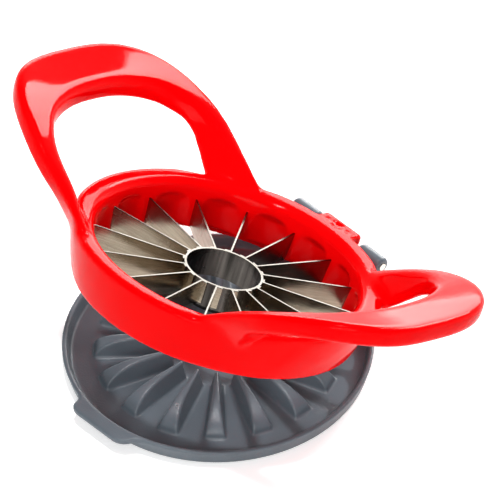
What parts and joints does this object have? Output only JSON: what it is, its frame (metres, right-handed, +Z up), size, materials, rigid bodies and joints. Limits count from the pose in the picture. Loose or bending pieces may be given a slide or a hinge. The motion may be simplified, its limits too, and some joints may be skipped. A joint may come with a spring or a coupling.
{
  "type": "apple slicer",
  "caption": "Round apple slicer and corer: red frame with two loop handles, radial steel blades round a coring tube, and a hinged grey base tray with pusher ribs.",
  "frame": {"origin": "middle of the base tray's flat underside, on the table", "axes": "+X along the hinge and through both handles, +Y towards the hinge at the back, +Z up"},
  "size_m": [0.202, 0.1269, 0.0893],
  "materials": {
    "red_plastic": "high-gloss moulded plastic",
    "blade_steel": "polished stainless steel with fine grinding lines",
    "grey_plastic": "satin moulded plastic",
    "pin_steel": "bare drawn steel"
  },
  "bodies": {
    "base": {"base_tray": "grey_plastic", "hinge_pin": "pin_steel"},
    "slicer": {"ring_frame": "red_plastic", "retainer_ring": "red_plastic", "corer_tube": "blade_steel", "blade_01": "blade_steel", "blade_02": "blade_steel", "blade_03": "blade_steel", "blade_04": "blade_steel", "blade_05": "blade_steel", "blade_06": "blade_steel", "blade_07": "blade_steel", "blade_08": "blade_steel", "blade_09": "blade_steel", "blade_10": "blade_steel", "blade_11": "blade_steel", "blade_12": "blade_steel", "blade_13": "blade_steel", "blade_14": "blade_steel", "blade_15": "blade_steel", "blade_16": "blade_steel"}
  },
  "joints": [
    {"name": "base_hinge", "type": "hinge", "parent": "base", "child": "slicer", "pos_m": [0, 0.0603, 0.0215], "axis": [-1, 0, 0], "range_deg": [-23.4, 126.6]}
  ]
}
